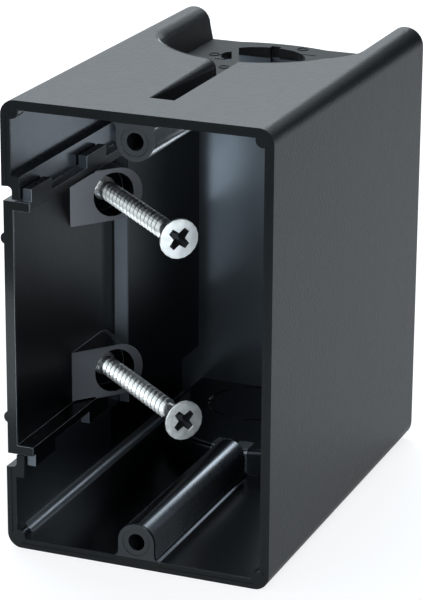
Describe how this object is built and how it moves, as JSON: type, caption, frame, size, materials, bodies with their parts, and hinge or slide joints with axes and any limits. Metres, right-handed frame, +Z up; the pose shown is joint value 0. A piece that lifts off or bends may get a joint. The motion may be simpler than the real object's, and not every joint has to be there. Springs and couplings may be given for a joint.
{
  "type": "new work outlet box",
  "caption": "Deep moulded outlet box with recessed cable entries, device screw bosses and a stud-side panel holding angled mounting screws.",
  "frame": {"origin": "middle of the footprint, on the base", "axes": "+Z up, -Y out of the open front, -X towards the stud"},
  "size_m": [0.0576, 0.0904, 0.0945],
  "materials": {
    "black_plastic": "satin moulded thermoplastic, black",
    "zinc_plated_steel": "bright zinc plating"
  },
  "bodies": {
    "root": {"housing": "black_plastic", "stud_side_panel": "black_plastic", "upper_mounting_screw": "zinc_plated_steel", "lower_mounting_screw": "zinc_plated_steel"}
  },
  "joints": []
}
